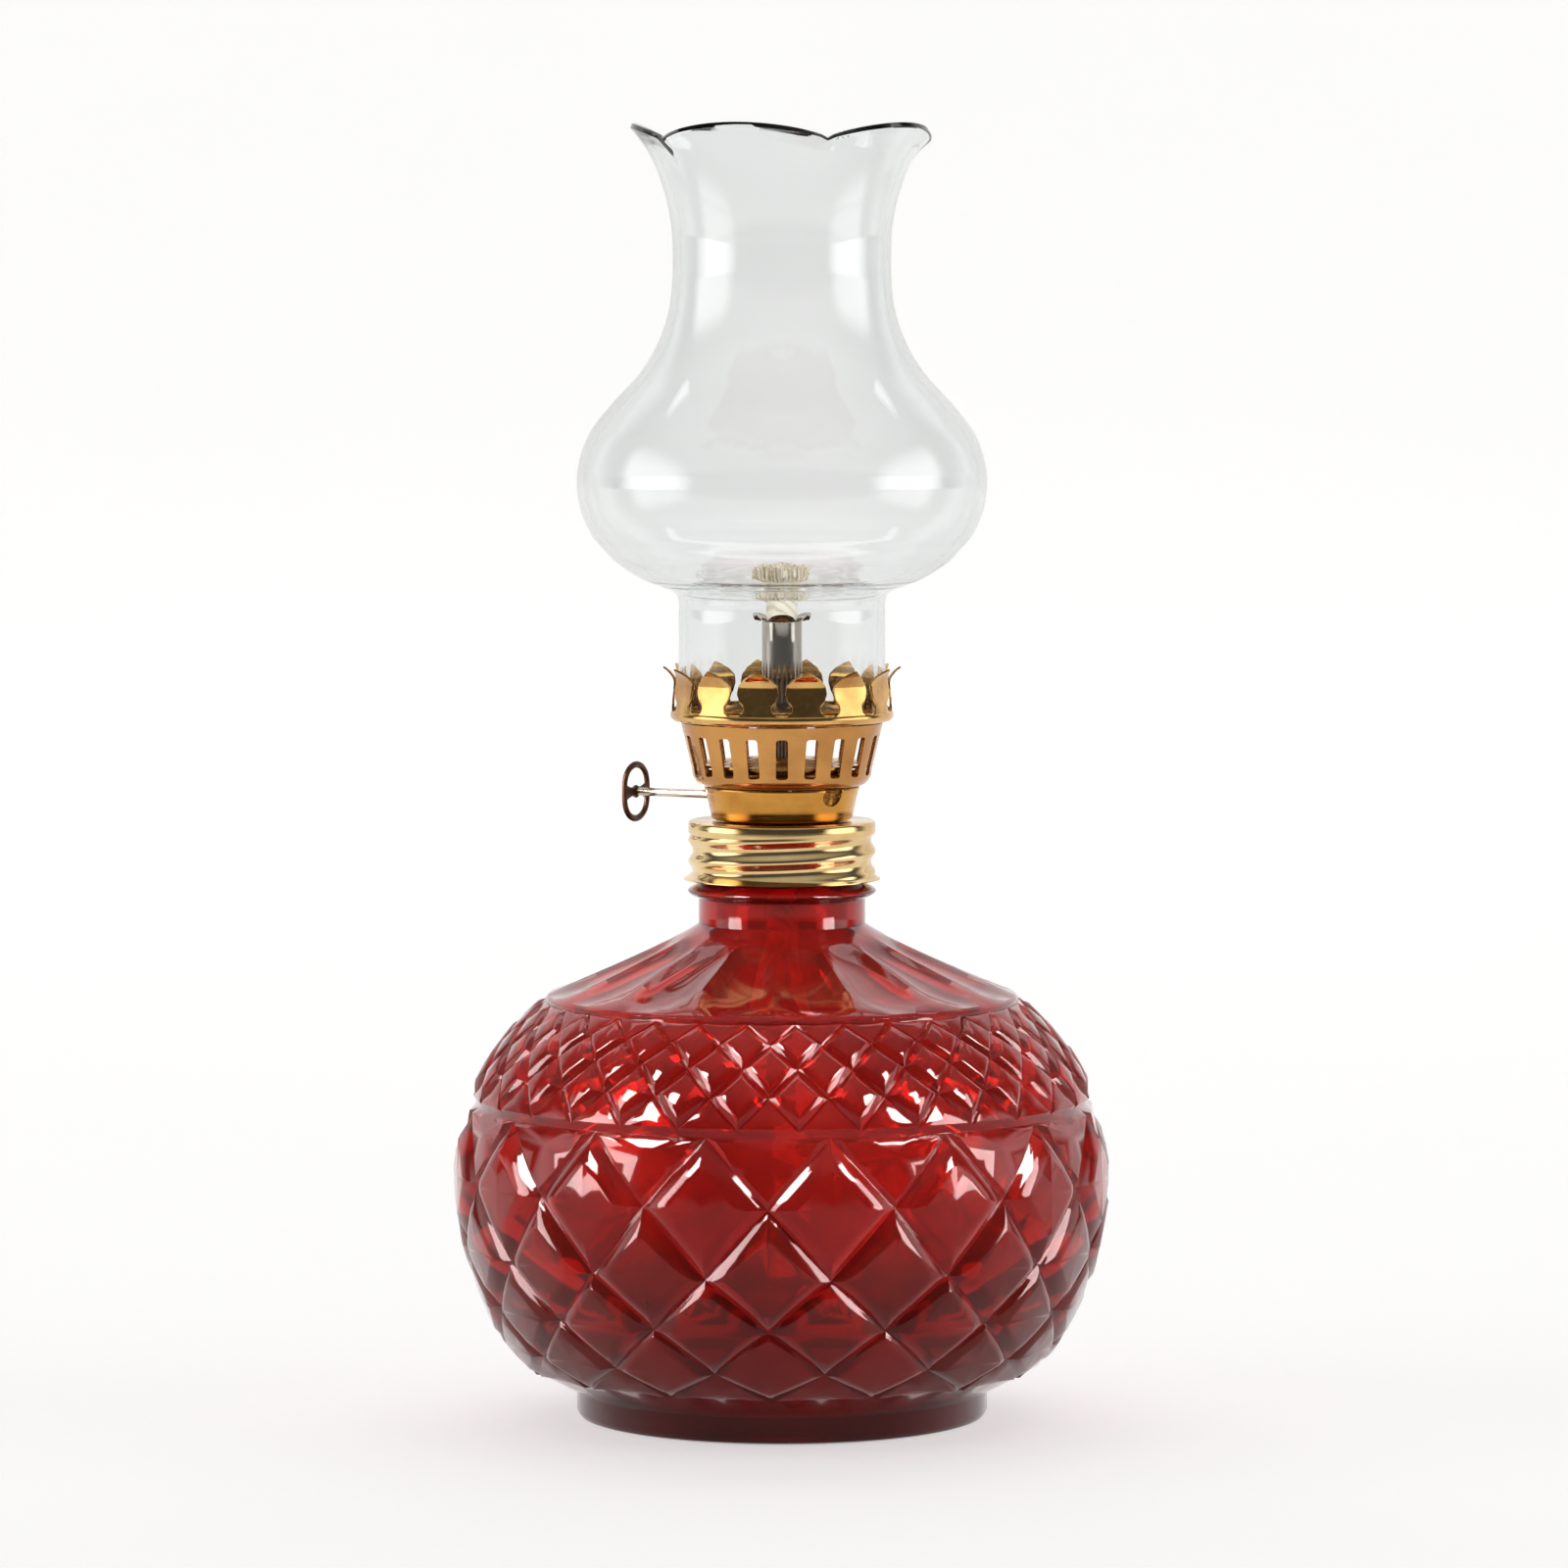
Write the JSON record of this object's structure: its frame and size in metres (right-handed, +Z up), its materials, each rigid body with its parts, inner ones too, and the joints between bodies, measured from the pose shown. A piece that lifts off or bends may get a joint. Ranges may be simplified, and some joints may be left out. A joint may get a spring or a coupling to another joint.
{
  "type": "oil lamp",
  "caption": "Table oil lamp: pressed ruby glass font, screw-on brass burner with a wick raiser, cotton wick and a clear glass chimney that lifts off.",
  "frame": {"origin": "centre of the foot's underside, on the surface the lamp stands on", "axes": "+Z up along the lamp's axis, -Y is the front, the wick knob is at the left and back (-X, +Y)"},
  "size_m": [0.1266, 0.1266, 0.25],
  "materials": {
    "ruby_glass": "pressed, fire-polished ruby glass",
    "clear_glass": "clear blown glass",
    "yellow_brass": "rolled thin sheet, polished",
    "gold_brass": "drawn and lacquered, satin",
    "dark_bronze": "stamped, darkened",
    "bright_steel": "bright plated tube",
    "plain_steel": "drawn wire and stamped sheet",
    "cotton": "round braided cotton",
    "cork": "pressed cork"
  },
  "bodies": {
    "font": {"font": "ruby_glass"},
    "washer": {"neck_washer": "cork"},
    "burner": {"screw_collar": "yellow_brass", "burner_cup": "gold_brass", "air_gallery": "gold_brass", "air_sieve": "gold_brass", "prong_crown": "gold_brass", "wick_tube": "bright_steel", "wheel_bracket": "gold_brass"},
    "winder": {"spindle": "plain_steel", "wick_wheel": "plain_steel", "thumb_knob": "dark_bronze"},
    "wick": {"wick": "cotton", "wick_tail": "cotton"},
    "chimney": {"chimney": "clear_glass"}
  },
  "joints": [
    {"name": "burner_rise", "type": "slide", "parent": "font", "child": "washer", "axis": [0, 0, 1], "range_m": [0, 0.00625]},
    {"name": "burner_turn", "type": "hinge", "parent": "washer", "child": "burner", "pos_m": [0, 0, 0.11], "axis": [0, 0, 1], "range_deg": [0, 540]},
    {"name": "knob_turn", "type": "hinge", "parent": "burner", "child": "winder", "pos_m": [-0.00235, -0.00441, 0.1211], "axis": [0.8829, -0.4695, 0], "range_deg": [-98.8, 98.8]},
    {"name": "wick_raise", "type": "slide", "parent": "burner", "child": "wick", "axis": [0, 0, 1], "range_m": [-0.005, 0.005]},
    {"name": "chimney_lift", "type": "slide", "parent": "burner", "child": "chimney", "axis": [0, 0, 1], "range_m": [0, 0.06]}
  ],
  "couplings": [
    {"joint": "burner_rise", "follows": "burner_turn", "m_per_rad": 0.00066049},
    {"joint": "knob_turn", "follows": "wick_raise", "rad_per_m": 344.83}
  ]
}
